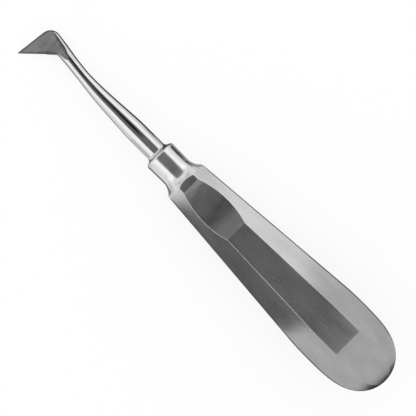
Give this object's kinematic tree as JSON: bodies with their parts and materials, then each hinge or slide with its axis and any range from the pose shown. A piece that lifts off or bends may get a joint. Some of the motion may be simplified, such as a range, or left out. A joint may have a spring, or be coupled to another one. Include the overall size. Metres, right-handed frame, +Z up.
{
  "type": "angled dental elevator",
  "caption": "Steel dental elevator: a ground triangular blade pointing to one side, a slim round shank, a turned collar and a flared octagonal handle with a thumb scoop and a domed butt.",
  "frame": {"origin": "middle of the handle's lower flat, on which the instrument lies", "axes": "+X along the handle's lower flat towards the butt, +Z up out of the flat with the thumb scoop, and the blade's point lies towards -Y"},
  "size_m": [0.1497, 0.024, 0.0247],
  "materials": {
    "stainless_steel": "polished shank and collar, satin handle flats, finely ground blade face"
  },
  "bodies": {
    "root": {"elevator": "stainless_steel"}
  },
  "joints": []
}
